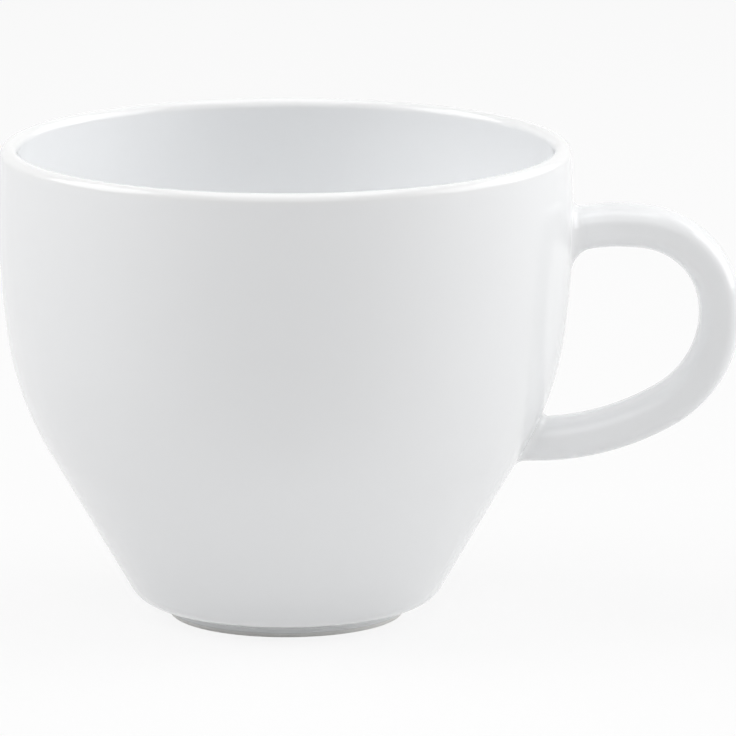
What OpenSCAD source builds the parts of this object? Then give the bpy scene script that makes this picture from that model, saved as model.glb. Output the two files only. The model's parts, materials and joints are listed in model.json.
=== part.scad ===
// Cafe au lait cup: white glazed porcelain bowl with a strap handle.
// The origin is on the bowl's axis at the table, +Z is up and +X points to the handle.

/* [Bowl] */
// Outer diameter over the lip
rim_d = 105; // [98:0.5:112]
// Height from the table to the top of the lip
cup_h = 88; // [82:0.5:94]
// Thickness of the wall and the lip, glaze included
wall_t = 3.2; // [2.6:0.1:4]
// How far the wall leans in at the rim, in degrees
rim_lean = 4; // [1:0.5:6]
// Radius of the slow curve of the upper wall
wall_r = 165; // [140:1:200]
// Height at which the upper wall turns into the shoulder
shoulder_h = 53; // [47:0.5:58]
// Radius of the shoulder, between the upper wall and the cone below it
shoulder_r = 58; // [48:0.5:66]
// Radius of the rounded knuckle at the bottom of the cone
knuckle_r = 5.7; // [4:0.1:6.5]
// Diameter of the circle on which the knuckle's rounding is centred
knuckle_d = 48; // [44:0.5:52]
// Height of the centre of the knuckle's rounding
knuckle_h = 8.3; // [8:0.1:10]

/* [Inside] */
// Thickness of the floor, glaze included
floor_t = 5.2; // [4:0.1:6.5]
// Radius between the wall and the floor inside
inner_corner_r = 20; // [14:0.5:24]

/* [Foot ring] */
// Outer diameter of the foot ring
foot_d = 44; // [40:0.5:46]
// Width of the foot ring, from its outside to its inside
foot_ring_w = 3; // [2.4:0.1:4]
// Height of the foot ring below the underside of the bowl
foot_h = 1.7; // [1.5:0.1:2.2]
// Depth of the recess inside the foot ring
recess_h = 2.8; // [2.4:0.1:3.2]
// Fillet between the foot ring and the underside
foot_fillet_r = 0.6; // [0.4:0.05:0.8]
// Fillet between the foot ring and the recess
recess_fillet_r = 1.4; // [1:0.1:1.5]
// Rounding of the bare standing edge
foot_edge_r = 0.5; // [0.3:0.05:0.6]

/* [Glaze] */
// Thickness of the glaze
glaze_t = 0.25; // [0.15:0.01:0.35]
// Height above the table at which the glaze stops on the foot ring
glaze_stop_h = 0.8; // [0.7:0.05:0.9]

/* [Handle] */
// Width of the strap
handle_w = 11.5; // [9:0.1:14]
// Thickness of the strap at its crown
handle_t = 7.8; // [6.5:0.1:8.5]
// Radius of the crowned faces of the strap
crown_r = 15.6; // [14:0.1:20]
// Rounding of the edges of the strap
strap_edge_r = 2.6; // [1.6:0.1:3.2]
// Depth of the upper joint's centre below the top of the lip
upper_joint_drop = 15.9; // [14:0.1:18]
// Rise of the upper arm at the wall, in degrees
root_rise = 12; // [8:0.5:16]
// Radius of the strap over the top
top_r = 40; // [34:0.5:46]
// Radius of the strap's upper turn
turn_r = 15.8; // [14.5:0.1:17]
// Radius of the strap's outer side
side_r = 20; // [18.5:0.1:21.5]
// Radius of the strap's sweep back to the bowl
sweep_r = 48; // [42:0.5:54]

/* [Slip joints] */
// Thickness of the slip between the wall and the handle
slip_t = 0.6; // [0.4:0.05:0.8]
// Fillet under the upper arm
upper_inner_fillet_r = 3.4; // [2.5:0.1:3.8]
// Fillet over the upper arm
upper_outer_fillet_r = 1.6; // [1:0.1:2.5]
// Fillet over the lower arm, in the finger gap
lower_inner_fillet_r = 2.2; // [1.2:0.1:2.8]
// Fillet under the lower arm
lower_outer_fillet_r = 1.2; // [0.8:0.1:2]

/* [Hidden] */
$fn = 96;

// Directions of the strap, in degrees anticlockwise from +X, where one arc hands over to the next
top_end_dir = -7;
turn_end_dir = -83;
side_end_dir = -150;
sweep_end_dir = -180;

// Steps of each arc of an outline
lip_steps = 14;
wall_steps = 10;
shoulder_steps = 12;
knuckle_steps = 10;
corner_steps = 16;
fillet_steps = 6;
edge_steps = 4;

// Colours
porcelain = [0.90, 0.89, 0.87];
glaze_white = [0.95, 0.96, 0.97];

// An angle a says how far the wall leans in as it goes down. Its outward normal and a point of an
// arc round c, in the half plane of radius and height:
function normal(a) = [cos(a), -sin(a)];
function arc(c, r, from, to, steps) =
    [for (i = [0 : steps]) c + r * normal(from + (to - from) * i / steps)];

// Centres of the arcs of the bowl's outline, from the lip down to the knuckle
lip_r = wall_t / 2;
lip_c = [rim_d / 2 - lip_r, cup_h - lip_r];
wall_c = lip_c + (lip_r - wall_r) * normal(-rim_lean);
shoulder_a = asin((wall_c[1] - shoulder_h) / wall_r);
shoulder_c = wall_c + (wall_r - shoulder_r) * normal(shoulder_a);
knuckle_c = [knuckle_d / 2, knuckle_h];

// Lean of the cone, whose line touches the shoulder's circle and the knuckle's circle
cone_v = knuckle_c - shoulder_c;
cone_a = atan2(-cone_v[1], cone_v[0]) - acos((shoulder_r - knuckle_r) / norm(cone_v));

// Lean of the underside, whose line touches the knuckle's circle and meets the top of the foot ring
foot_r = foot_d / 2;
foot_inner_r = foot_r - foot_ring_w;
under_v = [foot_r, foot_h] - knuckle_c;
under_a = atan2(-under_v[1], under_v[0]) - acos(knuckle_r / norm(under_v));

// Centre of the fillet between the underside and the foot ring
fillet_x = foot_r + foot_fillet_r;
fillet_drop = ((fillet_x - knuckle_c[0]) * cos(under_a) - knuckle_r - foot_fillet_r) / sin(under_a);
foot_fillet_c = [fillet_x, knuckle_c[1] + fillet_drop];

// Centre of the corner between the wall and the floor inside
floor_h = recess_h + floor_t;
corner_h = floor_h + inner_corner_r;
corner_reach = shoulder_r - wall_t - inner_corner_r + shoulder_c * normal(cone_a);
corner_c = [(corner_reach + corner_h * sin(cone_a)) / cos(cone_a), corner_h];

// Outlines, each lying e inside the finished surface: the lip and the outside down to the glaze's
// edge, the inside up to the lip, the bare standing edge, and the underside inside the foot ring
function outside(e) = concat(
    arc(lip_c, lip_r - e, -90, -rim_lean, lip_steps / 2),
    arc(wall_c, wall_r - e, -rim_lean, shoulder_a, wall_steps),
    arc(shoulder_c, shoulder_r - e, shoulder_a, cone_a, shoulder_steps),
    arc(knuckle_c, knuckle_r - e, cone_a, under_a, knuckle_steps),
    arc(foot_fillet_c, -foot_fillet_r - e, under_a, 0, fillet_steps),
    [[foot_r - e, glaze_stop_h]]);
function inside(e) = concat(
    [[0, floor_h - e]],
    arc(corner_c, inner_corner_r + e, 90, cone_a, corner_steps),
    arc(shoulder_c, shoulder_r - wall_t + e, cone_a, shoulder_a, shoulder_steps),
    arc(wall_c, wall_r - wall_t + e, shoulder_a, -rim_lean, wall_steps),
    arc(lip_c, lip_r - e, -180 - rim_lean, -90, lip_steps / 2));
function standing_edge(e) = concat(
    arc([foot_r - e - foot_edge_r, foot_edge_r], foot_edge_r, 0, 90, edge_steps),
    arc([foot_inner_r + e + foot_edge_r, foot_edge_r], foot_edge_r, 90, 180, edge_steps));
function underside(e) = let (c = [foot_inner_r - recess_fillet_r, recess_h - recess_fillet_r]) concat(
    [[foot_inner_r + e, glaze_stop_h]],
    arc(c, recess_fillet_r + e, 0, -90, fillet_steps),
    [[0, recess_h + e]]);

// A list without the points that repeat the one before, so that no edge has zero length
least_edge = glaze_t / 100;
function tidy(p) =
    [for (i = [0 : len(p) - 1]) if (i == 0 || norm(p[i] - p[max(i - 1, 0)]) > least_edge) p[i]];
function reverse(p) = [for (i = [len(p) - 1 : -1 : 0]) p[i]];

// The whole bowl as if it were filled, e inside the finished surface, to trim what meets the wall
module filled_bowl(e) {
    rotate_extrude() polygon(tidy(concat([[0, cup_h - e]], outside(e), [[0, glaze_stop_h]])));
}

// Radius of the outside at height z, e inside the finished surface, above the knuckle
function outer_r(z, e) =
    z > wall_c[1] - (wall_r - e) * sin(shoulder_a)
        ? wall_c[0] + sqrt(pow(wall_r - e, 2) - pow(z - wall_c[1], 2))
    : z > shoulder_c[1] - (shoulder_r - e) * sin(cone_a)
        ? shoulder_c[0] + sqrt(pow(shoulder_r - e, 2) - pow(z - shoulder_c[1], 2))
    : shoulder_c[0] + (shoulder_r - e + (z - shoulder_c[1]) * sin(cone_a)) / cos(cone_a);

// Section of the strap, u across its thickness and y across its width. Every point of a rounding
// has a centre, a radius and a direction, so that the section can be grown.
crown_c = handle_t / 2 - crown_r;
edge_y = handle_w / 2 - strap_edge_r;
edge_u = crown_c + sqrt(pow(crown_r - strap_edge_r, 2) - pow(edge_y, 2));
crown_a = asin(edge_y / (crown_r - strap_edge_r));
function rounding(c, r, from, to, steps) =
    [for (i = [0 : steps]) [c, r, from + (to - from) * i / steps]];
strap = concat(
    rounding([edge_u, edge_y], strap_edge_r, crown_a, 90, edge_steps),
    rounding([-edge_u, edge_y], strap_edge_r, 90, 180 - crown_a, edge_steps),
    rounding([-crown_c, 0], crown_r, 180 - crown_a, 180 + crown_a, fillet_steps),
    rounding([-edge_u, -edge_y], strap_edge_r, 180 + crown_a, 270, edge_steps),
    rounding([edge_u, -edge_y], strap_edge_r, 270, 360 - crown_a, edge_steps),
    rounding([crown_c, 0], crown_r, 360 - crown_a, 360 + crown_a, fillet_steps));

// How much a point grows when the outer face grows by outer and the inner face by inner
function growth(p, outer, inner) = inner + (outer - inner) * (1 + cos(p[2])) / 2;
function grown(p, o) = p[0] + (p[1] + o) * [cos(p[2]), sin(p[2])];
strap_points = [for (i = [0 : len(strap) - 1])
    if (norm(grown(strap[i], 0) - grown(strap[(i + 1) % len(strap)], 0)) > least_edge) strap[i]];

module section(outer, inner) {
    polygon([for (p = strap_points) grown(p, growth(p, outer, inner))]);
}

// Centreline of the strap: where it meets the wall, and the centre of each arc in turn
upper_joint_h = cup_h - upper_joint_drop;
function along(dir) = [cos(dir), sin(dir)];
function across(dir) = [-sin(dir), cos(dir)];
upper_p = [outer_r(upper_joint_h, 0), upper_joint_h];
top_c = upper_p - top_r * across(root_rise);
turn_c = top_c + (top_r - turn_r) * across(top_end_dir);
side_c = turn_c + (turn_r - side_r) * across(turn_end_dir);
sweep_c = side_c + (side_r - sweep_r) * across(side_end_dir);
tail_p = sweep_c + sweep_r * across(sweep_end_dir);
lower_p = [outer_r(tail_p[1], 0), tail_p[1]];

// Puts its children at p in two steps, a round one and a rest, which keeps every digit of p, so
// that the strap's arcs meet exactly
place_grid = 0.01;
module at(p) {
    coarse = [for (v = p) round(v / place_grid) * place_grid];
    rest = p - coarse;
    translate([coarse[0], 0, coarse[1]]) translate([rest[0], 0, rest[1]]) children();
}

// A section drawn straight from p in direction dir, and one turned round c between two directions
module straight(p, dir, run) {
    at(p) rotate([0, -dir, 0]) rotate([90, 0, 90])
        linear_extrude(run) mirror([1, 0]) rotate(90) children();
}
module turn(c, r, from, to) {
    at(c) rotate([90, 0, 0])
        rotate_extrude(angle = from - to, start = to + 90) translate([r, 0]) children();
}

// A section swept along the whole strap, running on into the bowl at both ends
root_turn = 12;
module strap_sweep() {
    turn(top_c, top_r, root_rise + root_turn, top_end_dir) children();
    turn(turn_c, turn_r, top_end_dir, turn_end_dir) children();
    turn(side_c, side_r, turn_end_dir, side_end_dir) children();
    turn(sweep_c, sweep_r, side_end_dir, sweep_end_dir) children();
    straight(tail_p, sweep_end_dir, tail_p[0]) children();
}

// A slip joint: a pad of slip on the bare wall, a concave fillet round the arm and a short sleeve
// of the glaze over it. Its rings of points follow the section, each on a surface that lies out
// from the finished wall by its own distance. The arm leaves the wall at p in direction dir,
// either straight, or turning with radius r where r isn't zero.
sleeve_l = 0.5;
sleeve_d = sleeve_l
    + max(upper_outer_fillet_r, upper_inner_fillet_r, lower_inner_fillet_r, lower_outer_fillet_r);
pad_d = slip_t - glaze_t;
joint_reach = 8;
halvings = 26;
patch_rings = 3;
function arm_point(p, dir, r, u, s) =
    r == 0 ? p + s * along(dir) + u * across(dir)
    : p - r * across(dir) + (r + u) * across(dir - s / r * 180 / PI);
function joint_point(j, q, s) = let (v = arm_point(j[0], j[1], j[2], q[0], s)) [v[0], q[1], v[1]];
function gap_to_wall(v, d) = norm([v[0], v[1]]) - outer_r(v[2], -d);
function meet(j, q, d, lo, hi, n) =
    let (v = joint_point(j, q, (lo + hi) / 2))
    n == 0 ? v
    : gap_to_wall(v, d) > 0 ? meet(j, q, d, lo, (lo + hi) / 2, n - 1)
    : meet(j, q, d, (lo + hi) / 2, hi, n - 1);
function ring(j, qs, ds) =
    [for (i = [0 : len(qs) - 1]) meet(j, qs[i], ds[i], -joint_reach, joint_reach, halvings)];
function level(d) = [for (q = strap_points) d];
function grown_ring(o) = [for (q = strap_points) grown(q, o)];
function joint_rings(j, upper, lower) =
    let (
        fillet = [for (q = strap_points) growth(q, upper, lower)],
        foot = [for (i = [0 : len(strap_points) - 1]) grown(strap_points[i], fillet[i])],
        bare = grown_ring(-glaze_t)
    )
    concat(
        [for (k = [1 : patch_rings]) ring(j, bare * k / patch_rings, level(pad_d))],
        [ring(j, bare, level(sleeve_d)), ring(j, grown_ring(0), level(sleeve_d))],
        [for (k = [0 : fillet_steps]) let (a = 90 * k / fillet_steps)
            ring(j,
                [for (i = [0 : len(fillet) - 1]) grown(strap_points[i], fillet[i] * (1 - cos(a)))],
                [for (f = fillet) f * (1 - sin(a))])],
        [for (k = [patch_rings : -1 : 1]) ring(j, foot * k / patch_rings, level(-glaze_t))]);
module slip_joint(j, upper, lower) {
    rings = joint_rings(j, upper, lower);
    m = len(strap_points);
    n = len(rings);
    pad_centre = ring(j, [[0, 0]], [pad_d]);
    wall_centre = ring(j, [[0, 0]], [-glaze_t]);
    points = concat([for (r = rings) each r], pad_centre, wall_centre);
    next = [for (i = [0 : m - 1]) (i + 1) % m];
    faces = concat(
        [for (i = [0 : m - 1]) [n * m, i, next[i]]],
        [for (k = [0 : n - 2], i = [0 : m - 1]) [k * m + i, (k + 1) * m + i, (k + 1) * m + next[i]]],
        [for (k = [0 : n - 2], i = [0 : m - 1]) [k * m + i, (k + 1) * m + next[i], k * m + next[i]]],
        [for (i = [0 : m - 1]) [n * m + 1, (n - 1) * m + next[i], (n - 1) * m + i]]);
    polyhedron(points, faces);
}
upper_joint = [upper_p, root_rise, top_r];
lower_joint = [lower_p, 0, 0];

// What a slip joint takes out of the glaze on the outside of the wall. The arm is as good as
// straight through so thin a coat.
module joint_hole(j) {
    difference() {
        straight(j[0] - joint_reach * along(j[1]), j[1], 2 * joint_reach) children();
        filled_bowl(wall_t / 2);
    }
}

module bowl() {
    body = concat(inside(glaze_t), outside(glaze_t), standing_edge(glaze_t), underside(glaze_t));
    color(porcelain) rotate_extrude() polygon(tidy(body));
}
module handle() {
    color(porcelain) difference() {
        strap_sweep() section(-glaze_t, -glaze_t);
        filled_bowl(-pad_d);
    }
}
module upper_slip_joint() {
    color(glaze_white) slip_joint(upper_joint, upper_outer_fillet_r, upper_inner_fillet_r);
}
module lower_slip_joint() {
    color(glaze_white) slip_joint(lower_joint, lower_inner_fillet_r, lower_outer_fillet_r);
}
module bowl_glaze() {
    coat = concat(inside(0), outside(0), reverse(outside(glaze_t)), reverse(inside(glaze_t)));
    color(glaze_white) difference() {
        rotate_extrude() polygon(tidy(coat));
        joint_hole(upper_joint) section(upper_outer_fillet_r, upper_inner_fillet_r);
        joint_hole(lower_joint) section(lower_inner_fillet_r, lower_outer_fillet_r);
    }
}
module handle_glaze() {
    color(glaze_white) difference() {
        strap_sweep() difference() {
            section(0, 0);
            section(-glaze_t, -glaze_t);
        }
        filled_bowl(-sleeve_d);
    }
}
module base_glaze() {
    coat = concat(underside(0), reverse(underside(glaze_t)));
    color(glaze_white) rotate_extrude() polygon(tidy(coat));
}

bowl();
handle();
upper_slip_joint();
lower_slip_joint();
bowl_glaze();
handle_glaze();
base_glaze();
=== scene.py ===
"""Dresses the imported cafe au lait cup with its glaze, and sets it on a pale floor.

The lengths are metres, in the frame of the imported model: the origin is on the bowl's axis at
the table, +Z is up and +X points to the handle.
"""

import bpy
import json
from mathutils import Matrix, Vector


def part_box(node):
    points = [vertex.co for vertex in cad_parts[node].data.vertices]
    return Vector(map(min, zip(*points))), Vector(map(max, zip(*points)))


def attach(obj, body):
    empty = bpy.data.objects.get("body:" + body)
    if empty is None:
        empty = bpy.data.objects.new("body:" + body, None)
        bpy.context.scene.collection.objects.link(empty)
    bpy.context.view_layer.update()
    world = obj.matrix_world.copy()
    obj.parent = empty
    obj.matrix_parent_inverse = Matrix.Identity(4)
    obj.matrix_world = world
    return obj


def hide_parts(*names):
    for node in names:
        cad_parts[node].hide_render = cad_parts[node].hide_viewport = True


bl_info = {
    "name": "Cafe au Lait Cup",
    "version": (1, 0, 0),
    "blender": (4, 5, 0),
    "location": "3D View > Sidebar > Cup",
    "description": "Glaze coats, slip joints and bare foot of a porcelain cup, and its stage",
    "category": "Object",
}

import json
import math

import bpy
import numpy as np
from bpy.props import FloatProperty, FloatVectorProperty, IntProperty, PointerProperty
from mathutils import Vector

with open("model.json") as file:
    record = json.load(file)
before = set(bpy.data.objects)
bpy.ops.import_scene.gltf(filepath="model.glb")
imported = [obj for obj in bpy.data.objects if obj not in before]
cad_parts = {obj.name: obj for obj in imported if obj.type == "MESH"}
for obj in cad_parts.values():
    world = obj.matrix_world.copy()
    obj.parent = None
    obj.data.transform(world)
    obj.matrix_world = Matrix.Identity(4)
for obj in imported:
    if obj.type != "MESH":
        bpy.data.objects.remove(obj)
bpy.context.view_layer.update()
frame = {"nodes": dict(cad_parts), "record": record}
slot_colours = {m["slot"]: m["base_color"] for m in frame["record"]["materials"]}

MM = 0.001

# A coat's mesh is this many times as thick as the glaze, so it sinks into the porcelain.
COAT_DEPTH = 1.2
# The hidden underside of a coat has one ring of points for so many of the surface.
BOWL_UNDER_EVERY, STRAP_UNDER_EVERY = 3, 4
# The coat round the strap ends this far from the wall, inside the slip joints.
COAT_END = 0.4 * MM
# Lengths of the strap next to its upper and lower end that need no points of their own.
UPPER_END, LOWER_END = 3 * MM, 1.5 * MM
# A slip joint is sunk this far into the strap and the wall, half as far at its edge on the wall,
# and runs on this far past its fillet. So many rings lie across each of its hidden faces.
SUNK, RUN_ON, HIDDEN_RINGS = 0.03 * MM, 0.3 * MM, 3


# Sizes and colours


def length(name, description, default, **limits):
    """A length that the panel shows, in metres."""
    return FloatProperty(
        name=name, description=description, default=default, unit="LENGTH", precision=5, **limits
    )


def angle(name, description, degrees):
    """An angle that the panel shows."""
    return FloatProperty(
        name=name, description=description, default=math.radians(degrees), subtype="ANGLE"
    )


def colour(name, description, default):
    """A linear colour that the panel shows."""
    return FloatVectorProperty(
        name=name, description=description, default=default, subtype="COLOR", min=0, max=1
    )


def number(name, description, default):
    """A plain number that the panel shows."""
    return FloatProperty(name=name, description=description, default=default, precision=4)


class BowlSizes(bpy.types.PropertyGroup):
    """Sizes of the bowl and its foot ring."""

    lip_diameter: length("Lip diameter", "Outer diameter over the lip", 0.105)
    height: length("Height", "From the table to the top of the lip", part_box("bowl_glaze")[1].z)
    wall: length("Wall", "Thickness of the wall and the lip, glaze included", 0.0032)
    rim_lean: angle("Rim lean", "How far the wall leans in at the rim", 4)
    wall_radius: length("Wall radius", "Radius of the slow curve of the upper wall", 0.165)
    shoulder_height: length("Shoulder height", "Where the upper wall turns in", 0.053)
    shoulder_radius: length("Shoulder radius", "Radius below the upper wall", 0.058)
    knuckle_radius: length("Knuckle radius", "Rounding at the bottom of the cone", 0.0057)
    knuckle_diameter: length("Knuckle diameter", "Circle of the knuckle's centre", 0.048)
    knuckle_height: length("Knuckle height", "Height of the knuckle's centre", 0.0083)
    floor: length("Floor", "Thickness of the floor, glaze included", 0.0052)
    corner_radius: length("Inner corner", "Radius between wall and floor inside", 0.020)
    foot_diameter: length("Foot diameter", "Outer diameter of the foot ring", 0.044)
    foot_width: length("Foot width", "Width of the foot ring", 0.003)
    foot_height: length("Foot height", "Height of the foot ring", 0.0017)
    recess: length("Recess", "Depth of the recess inside the foot ring", 0.0028)
    foot_fillet: length("Foot fillet", "Fillet between foot ring and underside", 0.0006)
    recess_fillet: length("Recess fillet", "Fillet between foot ring and recess", 0.0014)
    glaze: length("Glaze", "Thickness of the glaze", 0.00025)
    glaze_stop: length("Glaze stop", "Height of the glaze's edge on the foot ring", 0.0008)


class HandleSizes(bpy.types.PropertyGroup):
    """Sizes of the strap handle and of the slip joints at its ends."""

    width: length("Width", "Width of the strap", 0.0115)
    thickness: length("Thickness", "Thickness of the strap at its crown", 0.0078)
    crown_radius: length("Crown radius", "Radius of the crowned faces", 0.0156)
    edge_radius: length("Edge radius", "Rounding of the edges of the strap", 0.0026)
    joint_drop: length("Joint drop", "Upper joint's centre below the lip", 0.0159)
    root_rise: angle("Root rise", "Rise of the upper arm at the wall", 12)
    top_radius: length("Top radius", "Radius of the strap over the top", 0.040)
    turn_radius: length("Turn radius", "Radius of the upper turn", 0.0158)
    side_radius: length("Side radius", "Radius of the outer side", 0.020)
    sweep_radius: length("Sweep radius", "Radius of the sweep back to the bowl", 0.048)
    slip: length("Slip", "Thickness of the slip between wall and handle", 0.0006)
    upper_inner_fillet: length("Fillet under upper arm", "Its radius", 0.0034)
    upper_outer_fillet: length("Fillet over upper arm", "Its radius", 0.0016)
    lower_inner_fillet: length("Fillet over lower arm", "Its radius", 0.0022)
    lower_outer_fillet: length("Fillet under lower arm", "Its radius", 0.0012)


class MeshDetail(bpy.types.PropertyGroup):
    """How finely the pieces are meshed."""

    around: IntProperty(
        name="Around the bowl", description="Faces round the bowl", default=224, min=24
    )
    step: length("Step", "Longest step along an outline", 0.0011, min=0.0002)
    fillet_rings: IntProperty(
        name="Fillet rings", description="Rings across a slip joint's fillet", default=18, min=4
    )


class Finishes(bpy.types.PropertyGroup):
    """Colours and gloss of the glaze and of the bare porcelain."""

    glaze_colour: colour("Glaze", "White body seen through the glaze", (0.917, 0.925, 0.934))
    pooled_colour: colour("Pooled glaze", "Glaze where it lies thick", (0.896, 0.905, 0.910))
    thin_colour: colour("Thin glaze", "Glaze where it runs thin", (0.932, 0.932, 0.928))
    gloss: number("Glaze roughness", "Roughness of the glaze", 0.07)
    peel_size: length("Peel size", "Width of the waves of the glaze", 0.0045)
    peel_depth: length("Peel depth", "Depth of the waves of the glaze", 0.000018)
    bare_colour: colour("Bare porcelain", "Fired body without glaze", slot_colours["porcelain"])
    grain_size: length("Grain size", "Grain of the bare porcelain", 0.00035)
    grain_depth: length("Grain depth", "Depth of the grain", 0.000012)


class Studio(bpy.types.PropertyGroup):
    """The camera, the lamps and the floor."""

    distance: length("Camera distance", "From the camera to the cup", 1.458)
    elevation: angle("Camera elevation", "Height of the camera over the horizon", 11.56)
    view_width: length("View width", "Width of the view at the cup", 0.13592)
    aim_across: length("Aim across", "How far right of the axis the camera aims", 0.01509)
    aim_height: length("Aim height", "Height at which the camera aims", 0.0460)
    ambient: number("Ambient", "Strength of the light all round", 0.10)
    left: number("Left softbox", "Power in watts", 15.2)
    right: number("Right softbox", "Power in watts", 13)
    back: number("Back softbox", "Power in watts", 7)
    front: number("Front softbox", "Power in watts", 6.5)
    overhead: number("Overhead softbox", "Power in watts", 4.8)
    floor_colour: colour("Floor", "Colour of the floor", (0.85, 0.85, 0.85))


# Outlines. An outline is an array of rows, each a radius, a height and the two parts of the
# surface's normal there. An angle says how far the wall leans in as it goes down.


def lean(a):
    """Outward direction of a wall that leans in by a."""
    return np.array([math.cos(a), -math.sin(a)])


def along(a):
    """Direction at an angle a over +X, in the plane of X and Z."""
    return np.array([math.cos(a), math.sin(a)])


def across(a):
    """Direction a quarter turn on from along(a)."""
    return np.array([-math.sin(a), math.cos(a)])


class Outline:
    """The cup's outline, from the sizes of the bowl."""

    # The fewest steps of an arc, and the most that it turns from point to point, in radians
    FEWEST_STEPS, MOST_TURN = 3, 0.16
    # The steps of a straight part are this many times as long as those of a curve.
    STRAIGHT_STEP = 3
    # Points closer than this are one point.
    SAME = 0.001 * MM

    def __init__(self, s, step):
        self.s, self.step = s, step
        self.lip_r = s.wall / 2
        self.lip_c = np.array([s.lip_diameter / 2 - self.lip_r, s.height - self.lip_r])
        self.wall_c = self.lip_c + (self.lip_r - s.wall_radius) * lean(-s.rim_lean)
        self.shoulder_a = math.asin((self.wall_c[1] - s.shoulder_height) / s.wall_radius)
        reach = s.wall_radius - s.shoulder_radius
        self.shoulder_c = self.wall_c + reach * lean(self.shoulder_a)
        self.knuckle_c = np.array([s.knuckle_diameter / 2, s.knuckle_height])
        self.cone_a = self.belt(
            self.knuckle_c - self.shoulder_c, s.shoulder_radius - s.knuckle_radius
        )
        self.foot_r = s.foot_diameter / 2
        self.foot_inner_r = self.foot_r - s.foot_width
        corner = np.array([self.foot_r, s.foot_height])
        self.under_a = self.belt(corner - self.knuckle_c, s.knuckle_radius)
        x = self.foot_r + s.foot_fillet
        drop = (x - self.knuckle_c[0]) * math.cos(self.under_a) - s.knuckle_radius - s.foot_fillet
        self.fillet_c = np.array([x, self.knuckle_c[1] + drop / math.sin(self.under_a)])
        self.floor_h = s.recess + s.floor
        h = self.floor_h + s.corner_radius
        reach = s.shoulder_radius - s.wall - s.corner_radius
        reach += self.shoulder_c @ lean(self.cone_a)
        self.corner_c = np.array(
            [(reach + h * math.sin(self.cone_a)) / math.cos(self.cone_a), h]
        )

    @staticmethod
    def belt(v, difference):
        """Lean of the line that touches two circles, v apart, whose radii differ by difference."""
        return math.atan2(-v[1], v[0]) - math.acos(difference / math.hypot(*v))

    def arc(self, centre, radius, start, end, face=1):
        """Part of a circle, whose surface faces outwards, or inwards where face is -1."""
        run = abs(radius * (end - start))
        turns = math.ceil(abs(end - start) / self.MOST_TURN)
        steps = max(self.FEWEST_STEPS, math.ceil(run / self.step), turns)
        n = np.array([lean(a) for a in np.linspace(start, end, steps + 1)])
        return np.hstack([centre + radius * n, face * n])

    def outside(self, e=0):
        """From the top of the lip down to the glaze's edge, e below the surface."""
        s, top = self.s, math.pi / 2
        return self.joined(
            self.arc(self.lip_c, self.lip_r - e, -top, -s.rim_lean),
            self.arc(self.wall_c, s.wall_radius - e, -s.rim_lean, self.shoulder_a),
            self.arc(self.shoulder_c, s.shoulder_radius - e, self.shoulder_a, self.cone_a),
            self.line(
                self.shoulder_c + (s.shoulder_radius - e) * lean(self.cone_a),
                self.knuckle_c + (s.knuckle_radius - e) * lean(self.cone_a),
                lean(self.cone_a),
            ),
            self.arc(self.knuckle_c, s.knuckle_radius - e, self.cone_a, self.under_a),
            self.arc(self.fillet_c, -s.foot_fillet - e, self.under_a, 0),
        )

    def inside(self, e=0):
        """From the middle of the floor up to the top of the lip, e below the surface."""
        s, top = self.s, math.pi / 2
        floor = np.array([0, self.floor_h - e])
        corner = self.corner_c + (s.corner_radius + e) * lean(self.cone_a)
        shoulder = self.shoulder_c + (s.shoulder_radius - s.wall + e) * lean(self.cone_a)
        return self.joined(
            self.line(floor, self.corner_c - (s.corner_radius + e) * np.array([0, 1]), (0, 1)),
            self.arc(self.corner_c, s.corner_radius + e, top, self.cone_a, -1),
            self.line(corner, shoulder, -lean(self.cone_a)),
            self.arc(
                self.shoulder_c, s.shoulder_radius - s.wall + e, self.cone_a, self.shoulder_a, -1
            ),
            self.arc(self.wall_c, s.wall_radius - s.wall + e, self.shoulder_a, -s.rim_lean, -1),
            self.arc(self.lip_c, self.lip_r - e, -math.pi - s.rim_lean, -top),
        )

    def glaze_edge(self):
        """The rounded edge of the glaze on the outside of the foot ring."""
        s = self.s
        r = s.glaze
        centre = np.array([self.foot_r - r, s.glaze_stop + r])
        return self.joined(
            self.line(np.array([self.foot_r, self.fillet_c[1]]), centre + (r, 0), (1, 0)),
            self.arc(centre, r, 0, math.pi / 2),
        )

    def underside(self):
        """From the glaze's edge inside the foot ring to the middle of the recess."""
        s = self.s
        r = s.glaze
        edge = np.array([self.foot_inner_r + r, s.glaze_stop + r])
        fillet = np.array([self.foot_inner_r - s.recess_fillet, s.recess - s.recess_fillet])
        low = np.array([self.foot_inner_r, edge[1]])
        return self.joined(
            self.arc(edge, r, math.pi / 2, math.pi),
            self.line(low, fillet + (s.recess_fillet, 0), (-1, 0)),
            self.arc(fillet, s.recess_fillet, 0, -math.pi / 2, -1),
            self.line(fillet + (0, s.recess_fillet), np.array([0, s.recess]), (0, -1)),
        )

    def line(self, start, end, normal):
        """A straight part of an outline."""
        run = math.hypot(*(end - start))
        steps = max(1, math.ceil(run / (self.STRAIGHT_STEP * self.step)))
        t = np.linspace(0, 1, steps + 1)[:, None]
        return np.hstack([start + t * (end - start), np.tile(normal, (steps + 1, 1))])

    def joined(self, *parts):
        """One outline from several, without the points that repeat the one before."""
        rows = np.vstack(parts)
        moved = np.hypot(*np.diff(rows[:, :2], axis=0).T) > self.SAME
        return rows[np.concatenate([[True], moved])]

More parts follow.
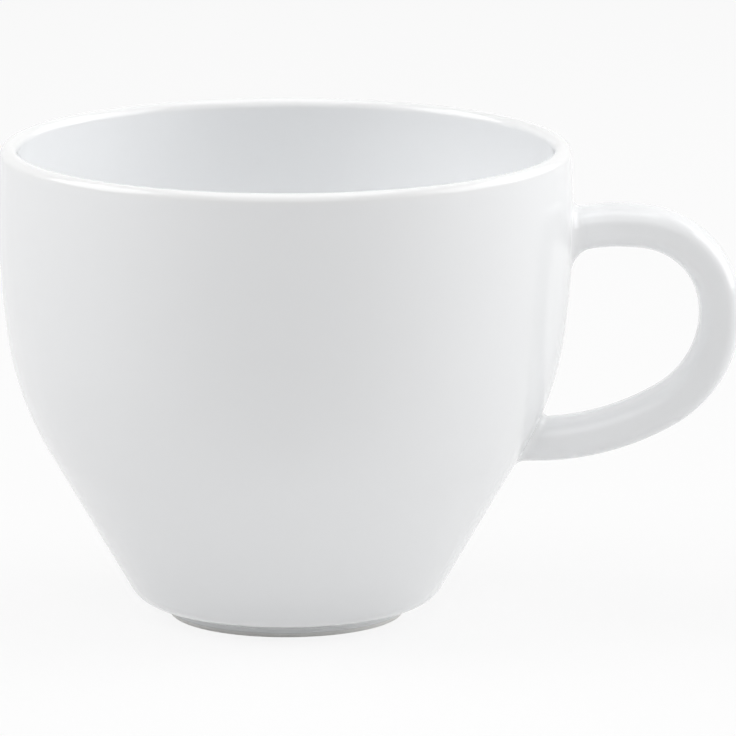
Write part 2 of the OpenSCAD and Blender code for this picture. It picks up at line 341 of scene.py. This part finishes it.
    def outer_radius(self, z, e=0.0):
        """Radius of the outside at height z, e below the surface, above the knuckle."""
        s = self.s
        wall, shoulder = s.wall_radius - e, s.shoulder_radius - e
        upper = self.wall_c[0] + np.sqrt(np.maximum(wall**2 - (z - self.wall_c[1]) ** 2, 0))
        middle = np.sqrt(np.maximum(shoulder**2 - (z - self.shoulder_c[1]) ** 2, 0))
        rise = (z - self.shoulder_c[1]) * math.sin(self.cone_a)
        cone = self.shoulder_c[0] + (shoulder + rise) / math.cos(self.cone_a)
        above_cone = z > self.shoulder_c[1] - shoulder * math.sin(self.cone_a)
        above_shoulder = z > self.wall_c[1] - wall * math.sin(self.shoulder_a)
        middle = self.shoulder_c[0] + middle
        return np.where(above_shoulder, upper, np.where(above_cone, middle, cone))

    def wall_normals(self, points):
        """The outside's normals at points on it."""
        small = 0.01 * MM
        z = points[:, 2]
        slope = (self.outer_radius(z + small) - self.outer_radius(z - small)) / (2 * small)
        r = np.hypot(points[:, 0], points[:, 1])
        n = np.stack([points[:, 0] / r, points[:, 1] / r, -slope], axis=1)
        return n / np.linalg.norm(n, axis=1, keepdims=True)


class Strap:
    """The handle's section and centreline."""

    # Directions of the strap where its arcs end
    TOP_END, TURN_END, SIDE_END, SWEEP_END = (math.radians(d) for d in (-7, -83, -150, -180))
    # Steps along each arc of the section
    ARC_STEPS = 10

    def __init__(self, s, outline):
        self.s, self.outline = s, outline
        self.section = self.make_section()
        z = outline.s.height - s.joint_drop
        self.upper_p = np.array([float(outline.outer_radius(z)), z])
        self.top_c = self.upper_p - s.top_radius * across(s.root_rise)
        self.turn_c = self.top_c + (s.top_radius - s.turn_radius) * across(self.TOP_END)
        self.side_c = self.turn_c + (s.turn_radius - s.side_radius) * across(self.TURN_END)
        self.sweep_c = self.side_c + (s.side_radius - s.sweep_radius) * across(self.SIDE_END)
        self.tail_p = self.sweep_c + s.sweep_radius * across(self.SWEEP_END)
        z = self.tail_p[1]
        self.lower_p = np.array([float(outline.outer_radius(z)), z])

    def make_section(self):
        """Rows of a centre across the thickness and the width, a radius and a direction."""
        s = self.s
        crown = s.thickness / 2 - s.crown_radius
        y = s.width / 2 - s.edge_radius
        inner = s.crown_radius - s.edge_radius
        u = crown + math.sqrt(inner**2 - y**2)
        a = math.asin(y / inner)
        quarter, half = math.pi / 2, math.pi
        parts = [
            (u, y, s.edge_radius, a, quarter),
            (-u, y, s.edge_radius, quarter, half - a),
            (-crown, 0, s.crown_radius, half - a, half + a),
            (-u, -y, s.edge_radius, half + a, 3 * quarter),
            (u, -y, s.edge_radius, 3 * quarter, 2 * half - a),
            (crown, 0, s.crown_radius, 2 * half - a, 2 * half + a),
        ]
        rows = []
        for cu, cy, r, start, end in parts:
            turns = np.linspace(start, end, self.ARC_STEPS + 1)
            if end not in (quarter, 3 * quarter):
                # The next arc starts with this point. Else a flat side comes first.
                turns = turns[:-1]
            rows += [(cu, cy, r, t) for t in turns]
        return np.array(rows)

    def grown(self, out):
        """Points of the section, grown by out, which may be one length or one for each point."""
        cu, cy, r, t = self.section.T
        return np.stack([cu + (r + out) * np.cos(t), cy + (r + out) * np.sin(t)], axis=1)

    def growth(self, above, below):
        """What each point grows by, from above for the upper face to below for the lower."""
        return below + (above - below) * (1 + np.cos(self.section[:, 3])) / 2

    def placed(self, p, a, section):
        """A section of the strap at p, where the strap runs in direction a."""
        v = p + section[:, :1] * across(a)
        return np.stack([v[:, 0], section[:, 1], v[:, 1]], axis=1)

    def normals(self, a):
        """The strap's normals where it runs in direction a."""
        t = self.section[:, 3]
        v = np.cos(t)[:, None] * across(a)
        return np.stack([v[:, 0], np.sin(t), v[:, 1]], axis=1)

    def stations(self, step, start, end):
        """Points and directions along the strap, leaving out a start and an end."""
        s = self.s
        arcs = [
            (self.top_c, s.top_radius, s.root_rise, self.TOP_END),
            (self.turn_c, s.turn_radius, self.TOP_END, self.TURN_END),
            (self.side_c, s.side_radius, self.TURN_END, self.SIDE_END),
            (self.sweep_c, s.sweep_radius, self.SIDE_END, self.SWEEP_END),
        ]
        rows, run = [], 0
        whole = sum(r * (a - b) for _, r, a, b in arcs)
        for c, r, a, b in arcs:
            steps = math.ceil(r * (a - b) / step)
            for t in np.linspace(a, b, steps + 1)[1:]:
                at = run + r * (a - t)
                if start < at < whole - end:
                    rows.append((c + r * across(t), t))
            run += r * (a - b)
        return rows


class SlipJoint:
    """Where an arm of the handle, leaving p in direction a, meets the wall. It turns with
    radius r, or runs straight where r is None."""

    # The wall is looked for this far on both sides of p, by halving so many times.
    REACH, HALVINGS = 8 * MM, 40

    def __init__(self, strap, p, a, r, above, below):
        self.strap, self.p, self.a, self.r = strap, p, a, r
        self.fillet = strap.growth(above, below)

    def arm(self, section, s):
        """Points of the arm s along it from p."""
        u, y = section[:, 0], section[:, 1]
        if self.r is None:
            v = self.p + s[:, None] * along(self.a) + u[:, None] * across(self.a)
        else:
            t = self.a - s / self.r
            out = np.stack([-np.sin(t), np.cos(t)], axis=1)
            v = self.p - self.r * across(self.a) + (self.r + u)[:, None] * out
        return np.stack([v[:, 0], y, v[:, 1]], axis=1)

    def arm_normals(self, s):
        """The arm's normals s along it from p."""
        t = self.a - (s / self.r if self.r else 0 * s)
        turn = self.strap.section[:, 3]
        v = np.cos(turn)
        return np.stack([-np.sin(t) * v, np.sin(turn), np.cos(t) * v], axis=1)

    def ring(self, section, gap):
        """Where lines along the arm reach the surface that lies gap out from the wall."""
        n = len(section)
        gap = np.broadcast_to(gap, n)
        low, high = np.full(n, -self.REACH), np.full(n, self.REACH)
        for _ in range(self.HALVINGS):
            middle = (low + high) / 2
            v = self.arm(section, middle)
            beyond = np.hypot(v[:, 0], v[:, 1]) > self.strap.outline.outer_radius(v[:, 2], -gap)
            high = np.where(beyond, middle, high)
            low = np.where(beyond, low, middle)
        return self.arm(section, middle), middle


# Meshes


def lapped(rings, wrap=False):
    """Faces between rings of points, each of which goes round once."""
    count, m = len(rings), len(rings[0])
    start = np.arange(count if wrap else count - 1)[:, None] * m
    i = np.arange(m)
    j = (i + 1) % m
    following = (start + m) % (count * m)
    faces = np.stack([start + i, start + j, following + j, following + i], axis=-1)
    return faces.reshape(-1, 4).tolist()


def spun(outline, around):
    """Points, normals and faces of an outline spun round the axis, from pole to pole."""
    turns = np.linspace(0, 2 * math.pi, around, endpoint=False)
    c, s = np.cos(turns), np.sin(turns)
    body = outline[1:-1]
    rings = [np.stack([r * c, r * s, np.full(around, z)], axis=1) for r, z, _, _ in body]
    sides = [np.stack([nr * c, nr * s, np.full(around, nz)], axis=1) for _, _, nr, nz in body]
    poles = [[0, 0, outline[end][1]] for end in (0, -1)]
    pole_sides = [[0, 0, outline[end][3]] for end in (0, -1)]
    return poled(rings, sides, poles, pole_sides)


def poled(rings, sides, poles, pole_sides):
    """Points, normals and faces of rings that a point closes at each end."""
    m = len(rings[0])
    points = np.vstack([*rings, poles])
    normals = np.vstack([*sides, pole_sides])
    a, b = len(points) - 2, len(points) - 1
    end = (len(rings) - 1) * m
    faces = lapped(rings)
    faces += [[a, (i + 1) % m, i] for i in range(m)]
    faces += [[b, end + i, end + (i + 1) % m] for i in range(m)]
    return points, normals, faces


def turned_out(points, normals, faces):
    """The faces, all turned over if most of them face away from the normals."""
    quads = np.array([face for face in faces if len(face) == 4])
    a, b, c, d = (points[quads[:, k]] for k in range(4))
    inward = np.sum(np.cross(c - a, d - b) * normals[quads[:, 0]]) < 0
    return [face[::-1] for face in faces] if inward else faces


def make_piece(name, points, normals, faces, finish, slot, *nodes):
    """A piece that stands for CAD nodes. Its normals are those of the true surface."""
    mesh = bpy.data.meshes.new(name)
    mesh.from_pydata(points.tolist(), [], turned_out(points, normals, faces))
    mesh.update()
    if mesh.validate():
        raise RuntimeError(f"{name} has faces that are not valid")
    mesh.shade_smooth()
    mesh.normals_split_custom_set_from_vertices(normals.tolist())
    mesh.materials.append(finish)
    piece = bpy.data.objects.new(name, mesh)
    bpy.context.scene.collection.objects.link(piece)
    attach(piece, "root")
    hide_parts(*nodes)
    return piece


# Materials

# Of the glaze, and of the glassy part of fired porcelain
GLASS_IOR = 1.5


class Signal:
    """An output of a node. Where it carries a number, sums over a surface read as expressions."""

    def __init__(self, finish, socket):
        self.finish, self.socket = finish, socket

    def __add__(self, other):
        return self.finish.maths("ADD", self, other)

    def __radd__(self, other):
        return self.finish.maths("ADD", other, self)

    def __sub__(self, other):
        return self.finish.maths("SUBTRACT", self, other)

    def __rsub__(self, other):
        return self.finish.maths("SUBTRACT", other, self)

    def __mul__(self, other):
        return self.finish.maths("MULTIPLY", self, other)

    def __rmul__(self, other):
        return self.finish.maths("MULTIPLY", other, self)

    def __pow__(self, other):
        return self.finish.maths("POWER", self, other)

    def __rpow__(self, other):
        return self.finish.maths("POWER", other, self)

    def most(self, other):
        """The larger of this and another."""
        return self.finish.maths("MAXIMUM", self, other)

    def between(self, low, high):
        """0 below low, 1 above high, and a smooth rise from one to the other."""
        settings = {"interpolation_type": "SMOOTHSTEP"}
        inputs = {"Value": self, "From Min": low, "From Max": high}
        return self.finish.node("ShaderNodeMapRange", settings, inputs)["Result"]


class Finish:
    """The nodes of a material, or of the world."""

    # The colour sockets of a Mix node, which has several of each name
    FIRST_COLOUR, SECOND_COLOUR = 6, 7

    def __init__(self, owner):
        owner.use_nodes = True
        self.owner, self.tree = owner, owner.node_tree
        self.tree.nodes.clear()

    def node(self, kind, settings=None, inputs=None):
        """A node of any kind. Its settings come first, then values or links of its sockets.
        Returns its outputs by name."""
        made = self.tree.nodes.new(kind)
        for key, value in (settings or {}).items():
            setattr(made, key, value)
        for key, value in (inputs or {}).items():
            if isinstance(value, Signal):
                self.tree.links.new(value.socket, made.inputs[key])
            else:
                made.inputs[key].default_value = value
        return {o.name: Signal(self, o) for o in made.outputs if o.enabled}

    def maths(self, operation, *values):
        """A Math node of numbers and outputs of nodes."""
        inputs = dict(enumerate(values))
        return self.node("ShaderNodeMath", {"operation": operation}, inputs)["Value"]

    def places(self):
        """A point's place on the object, whole and as x, y and z, in metres."""
        place = self.node("ShaderNodeTexCoord")["Object"]
        parts = self.node("ShaderNodeSeparateXYZ", None, {0: place})
        return place, parts["X"], parts["Y"], parts["Z"]

    def noise(self, place, size, detail=2.0):
        """Soft noise whose features are about size across, in metres."""
        inputs = {"Vector": place, "Scale": 1 / size, "Detail": detail}
        return self.node("ShaderNodeTexNoise", None, inputs)["Fac"]

    def blend(self, amount, first, second):
        """A colour that goes from first to second with amount."""
        inputs = {
            "Factor": amount,
            self.FIRST_COLOUR: self.opaque(first),
            self.SECOND_COLOUR: self.opaque(second),
        }
        return self.node("ShaderNodeMix", {"data_type": "RGBA"}, inputs)["Result"]

    @staticmethod
    def opaque(value):
        """A colour with an alpha, or a link as it is."""
        return value if isinstance(value, Signal) else (*value, 1.0)

    def bump(self, height, depth):
        """A normal bent by a height from 0 to 1 that stands for depth, in metres."""
        return self.node("ShaderNodeBump", None, {"Height": height, "Distance": depth})["Normal"]

    def shaded(self, **inputs):
        """Ends the nodes with the shader, whose sockets are named with _ for a space."""
        named = {key.replace("_", " "): value for key, value in inputs.items()}
        surface = self.node("ShaderNodeBsdfPrincipled", None, named)["BSDF"]
        self.node("ShaderNodeOutputMaterial", None, {"Surface": surface})
        return self.owner

    def seen(self):
        """1 for rays from the camera, and for those that gloss or glass sends on."""
        ray = self.node("ShaderNodeLightPath")
        return ray["Is Camera Ray"].most(ray["Is Glossy Ray"]).most(ray["Is Transmission Ray"])


# Where the glaze pools on the floor inside: the heights and the radii over which the pool ends
POOL_HEIGHTS, POOL_RADII = (10 * MM, 22 * MM), (20 * MM, 34 * MM)
# The heights over which the pool round the foot ends
FOOT_POOL_HEIGHTS = (1.5 * MM, 4.5 * MM)
# The glaze thins between these depths under the top of the lip
THIN_DEPTHS = (2.6 * MM, 0.6 * MM)
# The clouds of the glaze are this wide, and shift the edge of a pool by up to half of this
CLOUD_SIZE, CLOUD_SHIFT = 30 * MM, 4 * MM
# How much of that shift the pool round the foot and the thin glaze of the lip have
FOOT_SHIFT, LIP_SHIFT = 0.3, 0.15
# How far the glaze takes on the pooled and the thin colour, and how much clouds shift the first
POOLED_TINT, THIN_TINT, CLOUD_TINT = 0.8, 0.7, 0.25
# Ripples ride on the waves, so many to each. Waves and ripples share out the whole depth.
RIPPLES_TO_WAVE, WAVE_DEPTH, RIPPLE_DEPTH = 5, 0.85, 0.15
# How much the clouds and the ripples change the roughness
CLOUD_ROUGHNESS, RIPPLE_ROUGHNESS = 0.04, 0.02


def glaze_finish(scene):
    """Clear gloss glaze over white porcelain. It is a touch darker where it pools, on the floor
    and round the foot, and a touch warmer where it runs thin, on the lip."""
    looks, bowl = scene.cup_finishes, scene.cup_bowl
    f = Finish(bpy.data.materials.new("gloss_glaze"))
    place, x, y, z = f.places()
    radius = (x * x + y * y) ** 0.5
    cloud = f.noise(place, CLOUD_SIZE) - 0.5
    wander = cloud * CLOUD_SHIFT
    floor = 1 - (z + wander).between(*POOL_HEIGHTS)
    inner = 1 - radius.between(*POOL_RADII)
    foot = 1 - (z + wander * FOOT_SHIFT).between(*FOOT_POOL_HEIGHTS)
    pooled = (floor * inner).most(foot)
    lip_heights = [bowl.height - depth for depth in THIN_DEPTHS]
    thin = (z + wander * LIP_SHIFT).between(*lip_heights)
    tint = pooled * POOLED_TINT + cloud * CLOUD_TINT
    body = f.blend(tint, looks.glaze_colour, looks.pooled_colour)
    body = f.blend(thin * THIN_TINT, body, looks.thin_colour)
    waves = f.noise(place, looks.peel_size, detail=1.5)
    ripples = f.noise(place, looks.peel_size / RIPPLES_TO_WAVE, detail=1.0)
    return f.shaded(
        Base_Color=body,
        Roughness=looks.gloss + cloud * CLOUD_ROUGHNESS + (ripples - 0.5) * RIPPLE_ROUGHNESS,
        IOR=GLASS_IOR,
        Normal=f.bump(waves * WAVE_DEPTH + ripples * RIPPLE_DEPTH, looks.peel_depth),
    )


# How the dust of grinding on the foot ring dulls each channel of the bare porcelain
DUST = (0.80, 0.79, 0.77)
# The ground face lies between the table and these heights
GROUND_HEIGHTS = (0.02 * MM, 0.25 * MM)
# How much the marks of grinding run with the radius, and how little they change on the way round
MARK_RADIAL, MARK_ROUND = 40, 0.6
# The size of the marks' noise, in the place that those two stretch
MARK_SIZE = 0.02
# A speck is as wide as so many grains, and rises to full between these values of its noise.
SPECK_GRAINS, SPECK_EDGE = 6, (0.62, 0.72)
# How dusty the specks and the marks are
SPECK_DUST, MARK_DUST = 0.35, 0.5
# The roughness to begin with, what the grain adds at most and what grinding takes off
BARE_ROUGHNESS, GRAIN_ROUGHNESS, GROUND_ROUGHNESS = 0.58, 0.14, 0.12
# The grain and the marks share out the whole depth.
GRAIN_DEPTH, MARK_DEPTH = 0.7, 0.3


def bare_finish(scene):
    """Fired porcelain without glaze, ground smooth where the foot ring stands."""
    looks = scene.cup_finishes
    f = Finish(bpy.data.materials.new("bare_porcelain"))
    place, x, y, z = f.places()
    radius = (x * x + y * y) ** 0.5
    turned = {"X": radius * MARK_RADIAL, "Y": x * MARK_ROUND, "Z": y * MARK_ROUND}
    stretched = f.node("ShaderNodeCombineXYZ", None, turned)["Vector"]
    marks = f.noise(stretched, MARK_SIZE, detail=3.0)
    grain = f.noise(place, looks.grain_size, detail=3.0)
    specks = f.noise(place, looks.grain_size * SPECK_GRAINS, detail=4.0).between(*SPECK_EDGE)
    ground = 1 - z.between(*GROUND_HEIGHTS)
    dust = tuple(c * share for c, share in zip(looks.bare_colour, DUST))
    dusty = specks * SPECK_DUST + ground * marks * MARK_DUST
    return f.shaded(
        Base_Color=f.blend(dusty, looks.bare_colour, dust),
        Roughness=BARE_ROUGHNESS + grain * GRAIN_ROUGHNESS - ground * GROUND_ROUGHNESS,
        IOR=GLASS_IOR,
        Normal=f.bump(grain * GRAIN_DEPTH + ground * marks * MARK_DEPTH, looks.grain_depth),
    )


def finish_of(scene, name):
    """A material of the cup, made when it is first asked for."""
    makers = {"gloss_glaze": glaze_finish, "bare_porcelain": bare_finish}
    return bpy.data.materials.get(name) or makers[name](scene)


def cup_shapes(scene):
    """The outline of the bowl and the strap of the handle, from the scene's sizes."""
    outline = Outline(scene.cup_bowl, scene.cup_detail.step)
    return outline, Strap(scene.cup_handle, outline)


def slip_joints(scene, strap):
    """The upper slip joint, on an arm that turns, and the lower one, on a straight arm."""
    s = scene.cup_handle
    above, below = s.upper_outer_fillet, s.upper_inner_fillet
    upper = SlipJoint(strap, strap.upper_p, s.root_rise, s.top_radius, above, below)
    above, below = s.lower_inner_fillet, s.lower_outer_fillet
    return upper, SlipJoint(strap, strap.lower_p, 0.0, None, above, below)


# Operators


class CUP_OT_porcelain(bpy.types.Operator):
    """Give the bare bowl and handle their fired porcelain"""

    bl_idname = "cup.porcelain"
    bl_label = "Bare Porcelain"

    def execute(self, context):
        for name in ("bowl", "handle"):
            mesh = frame["nodes"][name].data
            mesh.materials.clear()
            mesh.materials.append(finish_of(context.scene, "bare_porcelain"))
        return {"FINISHED"}


class CUP_OT_bowl_glaze(bpy.types.Operator):
    """Make the coat of glaze over the bowl's inside, lip and outside"""

    bl_idname = "cup.bowl_glaze"
    bl_label = "Bowl Glaze"

    def execute(self, context):
        scene = context.scene
        outline, _ = cup_shapes(scene)
        under = scene.cup_bowl.glaze * COAT_DEPTH
        hidden = [outline.outside(under)[::-1], outline.inside(under)[::-1]]
        coarse = [np.vstack([part[:-1:BOWL_UNDER_EVERY], part[-1:]]) for part in hidden]
        for part in coarse:
            part[:, 2:] *= -1
        shown = (outline.inside(), outline.outside(), outline.glaze_edge())
        loop = outline.joined(*shown, *coarse)
        shape = spun(loop, scene.cup_detail.around)
        finish = finish_of(scene, "gloss_glaze")
        make_piece("bowl_glaze_coat", *shape, finish, "glaze", "bowl_glaze")
        return {"FINISHED"}


class CUP_OT_base_glaze(bpy.types.Operator):
    """Make the coat of glaze inside the foot ring"""

    bl_idname = "cup.base_glaze"
    bl_label = "Base Glaze"

    def execute(self, context):
        scene = context.scene
        outline, _ = cup_shapes(scene)
        shown = outline.underside()
        under = scene.cup_bowl.glaze * COAT_DEPTH
        hidden = np.hstack([shown[:, :2] - under * shown[:, 2:], -shown[:, 2:]])
        hidden = hidden[shown[:, 1] > scene.cup_bowl.glaze_stop + scene.cup_bowl.glaze]
        loop = outline.joined(shown[::-1], hidden)
        shape = spun(loop, scene.cup_detail.around)
        finish = finish_of(scene, "gloss_glaze")
        make_piece("base_glaze_coat", *shape, finish, "glaze", "base_glaze")
        return {"FINISHED"}


class CUP_OT_handle_glaze(bpy.types.Operator):
    """Make the coat of glaze round the handle's strap"""

    bl_idname = "cup.handle_glaze"
    bl_label = "Handle Glaze"

    def execute(self, context):
        scene = context.scene
        _, strap = cup_shapes(scene)
        upper, lower = slip_joints(scene, strap)
        under = -scene.cup_bowl.glaze * COAT_DEPTH
        stations = strap.stations(scene.cup_detail.step, UPPER_END, LOWER_END)
        rings, sides = [], []
        for out, face in ((0.0, 1), (under, -1)):
            section = strap.grown(out)
            first, s = upper.ring(section, COAT_END)
            last = lower.ring(section * (-1, 1), COAT_END)[0]
            run = [first, *(strap.placed(p, a, section) for p, a in stations), last]
            run_sides = [
                upper.arm_normals(s),
                *(strap.normals(a) for _, a in stations),
                strap.normals(strap.SWEEP_END),
            ]
            if face < 0:
                keep = [*range(0, len(run) - 1, STRAP_UNDER_EVERY), len(run) - 1][::-1]
                run, run_sides = [run[i] for i in keep], [run_sides[i] for i in keep]
            rings += run
            sides += [face * n for n in run_sides]
        shape = np.vstack(rings), np.vstack(sides), lapped(rings, wrap=True)
        finish = finish_of(scene, "gloss_glaze")
        make_piece("handle_glaze_coat", *shape, finish, "glaze", "handle_glaze")
        return {"FINISHED"}


class CUP_OT_slip_joints(bpy.types.Operator):
    """Make the two slip joints between the wall and the handle"""

    bl_idname = "cup.slip_joints"
    bl_label = "Slip Joints"

    def execute(self, context):
        scene = context.scene
        _, strap = cup_shapes(scene)
        names = ("upper_slip_joint", "lower_slip_joint")
        for name, joint in zip(names, slip_joints(scene, strap)):
            self.make(scene, strap, joint, name)
        return {"FINISHED"}

    def make(self, scene, strap, joint, name):
        """Makes one joint: the pad behind the arm, and the fillet from the arm to the wall."""
        glaze, fillet = scene.cup_bowl.glaze, joint.fillet
        pad = scene.cup_handle.slip - glaze
        bare, sunk, foot = strap.grown(-glaze), strap.grown(-SUNK), strap.grown(fillet)
        rings = [joint.ring(bare * k / HIDDEN_RINGS, pad)[0] for k in range(1, HIDDEN_RINGS + 1)]
        rings += [joint.ring(section, COAT_END)[0] for section in (bare, sunk)]
        sides = [np.zeros_like(ring) for ring in rings]
        start, s = joint.ring(sunk, fillet + RUN_ON)
        rings.append(start)
        sides.append(joint.arm_normals(s))
        steps = scene.cup_detail.fillet_rings
        shown = []
        for a in np.linspace(0, math.pi / 2, steps + 1):
            section = strap.grown(fillet * (1 - math.cos(a)))
            shown.append(joint.ring(section, fillet * (1 - math.sin(a))))
        surface = np.array([ring for ring, _ in shown])
        rings += list(surface)
        sides += list(self.surface_normals(strap, joint, surface, shown[0][1]))
        end = joint.ring(strap.grown(fillet + RUN_ON), -SUNK / 2)[0]
        rings.append(end)
        sides.append(strap.outline.wall_normals(end))
        inner = range(HIDDEN_RINGS - 1, 0, -1)
        rings += [joint.ring(foot * k / HIDDEN_RINGS, -SUNK)[0] for k in inner]
        sides += [np.zeros_like(end)] * len(inner)
        poles = [joint.ring(np.zeros((1, 2)), gap)[0][0] for gap in (pad, -SUNK)]
        shape = poled(rings, sides, poles, np.zeros((2, 3)))
        finish = finish_of(scene, "gloss_glaze")
        make_piece(name + "_fillet", *shape, finish, "glaze", name)

    @staticmethod
    def surface_normals(strap, joint, surface, s):
        """Normals of the fillet, which are the arm's at its first ring and the wall's at its
        last."""
        around = np.roll(surface, -1, axis=1) - np.roll(surface, 1, axis=1)
        down = np.gradient(surface, axis=0)
        n = np.cross(around, down)
        n /= np.linalg.norm(n, axis=2, keepdims=True)
        first = joint.arm_normals(s)
        if np.sum(n[len(n) // 2] * first) < 0:
            n = -n
        n[0] = first
        n[-1] = strap.outline.wall_normals(surface[-1])
        return n


class CUP_OT_stage(bpy.types.Operator):
    """Set up the floor, the lamps and the camera"""

    bl_idname = "cup.stage"
    bl_label = "Stage"

    # For each softbox, the degrees round from the camera and over the horizon, then the distance
    # and the width in metres
    SOFTBOXES = {
        "left": (-90, 36, 1.7, 1.3),
        "right": (90, 25, 1.7, 1.3),
        "back": (120, 25, 1.7, 1.3),
        "front": (0, 40, 1.7, 1.3),
        "overhead": (0, 89, 1.2, 0.9),
    }
    SOFTBOX_AIM = Vector((0, 0, 0.05))
    # The floor's radius in metres, its rings and the points of each
    FLOOR_RADIUS, FLOOR_RINGS, FLOOR_AROUND = 4.0, 6, 96
    # How much of the floor's look is plain white and not its lit colour with the shadow
    FLOOR_WHITE = 0.84
    WHITE = (1, 1, 1, 1)
    # A white cup lights itself, and its inside is too dark with the usual 4.
    DIFFUSE_BOUNCES = 10
    # In millimetres, as Blender has it
    SENSOR_WIDTH = 36
    # The nearest and the farthest thing that the camera sees, in metres
    CLIP_START, CLIP_END = 0.05, 50

    def execute(self, context):
        scene = context.scene
        studio = scene.cup_studio
        self.make_floor(scene, studio)
        self.light_world(scene, studio)
        for name, place in self.SOFTBOXES.items():
            self.make_softbox(scene, name + "_softbox", *place, getattr(studio, name))
        self.make_camera(scene, studio)
        scene.cycles.diffuse_bounces = self.DIFFUSE_BOUNCES
        return {"FINISHED"}

    def make_floor(self, scene, studio):
        """A round pale floor that stays white round the cup's shadow."""
        rings, around = self.FLOOR_RINGS, self.FLOOR_AROUND
        turns = np.linspace(0, 2 * math.pi, around, endpoint=False)
        circle = np.stack([np.cos(turns), np.sin(turns), 0 * turns], axis=1)
        points = [circle * self.FLOOR_RADIUS * (k / rings) ** 2 for k in range(rings, 0, -1)]
        faces = lapped(points)
        faces.append([(rings - 1) * around + i for i in range(around)])
        mesh = bpy.data.meshes.new("floor")
        mesh.from_pydata(np.vstack(points).tolist(), [], faces)
        mesh.update()
        f = Finish(bpy.data.materials.new("pale_floor"))
        matt = f.node("ShaderNodeBsdfDiffuse", None, {"Color": f.opaque(studio.floor_colour)})
        white = f.node("ShaderNodeEmission", None, {"Strength": 1.0})
        inputs = {0: f.seen() * self.FLOOR_WHITE, 1: matt["BSDF"], 2: white["Emission"]}
        mixed = f.node("ShaderNodeMixShader", None, inputs)
        f.node("ShaderNodeOutputMaterial", None, {"Surface": mixed["Shader"]})
        mesh.materials.append(f.owner)
        floor = bpy.data.objects.new("floor", mesh)
        scene.collection.objects.link(floor)

    def light_world(self, scene, studio):
        """Even light all round, behind a white background."""
        f = Finish(bpy.data.worlds.new("studio_air"))
        lights = [
            f.node("ShaderNodeBackground", None, {"Color": self.WHITE, "Strength": strength})
            for strength in (studio.ambient, 1.0)
        ]
        inputs = {0: f.seen(), 1: lights[0]["Background"], 2: lights[1]["Background"]}
        mixed = f.node("ShaderNodeMixShader", None, inputs)
        f.node("ShaderNodeOutputWorld", None, {"Surface": mixed["Shader"]})
        scene.world = f.owner

    def make_softbox(self, scene, name, azimuth, elevation, distance, size, power):
        """A square softbox that faces the cup and that the camera doesn't see."""
        data = bpy.data.lights.new(name, "AREA")
        data.shape = "SQUARE"
        data.size = size
        data.energy = power
        a, e = math.radians(azimuth), math.radians(elevation)
        out = Vector((math.sin(a) * math.cos(e), -math.cos(a) * math.cos(e), math.sin(e)))
        lamp = bpy.data.objects.new(name, data)
        lamp.location = out * distance + self.SOFTBOX_AIM
        lamp.rotation_euler = out.to_track_quat("Z", "Y").to_euler()
        lamp.visible_camera = False
        scene.collection.objects.link(lamp)

    def make_camera(self, scene, studio):
        """The camera, at the photograph's angle and distance."""
        data = bpy.data.cameras.new("camera")
        data.sensor_width = self.SENSOR_WIDTH
        data.lens = data.sensor_width * studio.distance / studio.view_width
        data.clip_start, data.clip_end = self.CLIP_START, self.CLIP_END
        camera = bpy.data.objects.new("camera", data)
        e = studio.elevation
        back = Vector((0, -math.cos(e), math.sin(e)))
        camera.location = Vector((studio.aim_across, 0, studio.aim_height)) + back * studio.distance
        camera.rotation_euler = (-back).to_track_quat("-Z", "Y").to_euler()
        scene.collection.objects.link(camera)
        scene.camera = camera
        scene.view_settings.view_transform = "Standard"


class CUP_PT_panel(bpy.types.Panel):
    """The cup's pieces and their sizes and colours"""

    bl_idname = "CUP_PT_panel"
    bl_label = "Cafe au Lait Cup"
    bl_space_type = "VIEW_3D"
    bl_region_type = "UI"
    bl_category = "Cup"

    def draw(self, context):
        for name, (label, group) in GROUPS.items():
            box = self.layout.box()
            box.label(text=label)
            settings = getattr(context.scene, name)
            for key in group.__annotations__:
                box.prop(settings, key)
        for operator in OPERATORS:
            self.layout.operator(operator.bl_idname)


GROUPS = {
    "cup_bowl": ("Bowl", BowlSizes),
    "cup_handle": ("Handle", HandleSizes),
    "cup_detail": ("Mesh", MeshDetail),
    "cup_finishes": ("Finishes", Finishes),
    "cup_studio": ("Studio", Studio),
}
OPERATORS = (
    CUP_OT_porcelain,
    CUP_OT_bowl_glaze,
    CUP_OT_base_glaze,
    CUP_OT_handle_glaze,
    CUP_OT_slip_joints,
    CUP_OT_stage,
)


def register():
    """Registers the classes and gives each scene the cup's settings."""
    for name, (_, group) in GROUPS.items():
        bpy.utils.register_class(group)
        setattr(bpy.types.Scene, name, PointerProperty(type=group))
    for cls in (*OPERATORS, CUP_PT_panel):
        bpy.utils.register_class(cls)


def unregister():
    """Takes away what register added."""
    for cls in (CUP_PT_panel, *OPERATORS[::-1]):
        bpy.utils.unregister_class(cls)
    for name, (_, group) in GROUPS.items():
        delattr(bpy.types.Scene, name)
        bpy.utils.unregister_class(group)


def main():
    register()
    for operator in OPERATORS:
        category, name = operator.bl_idname.split(".")
        getattr(getattr(bpy.ops, category), name)()


if __name__ == "__main__":
    main()
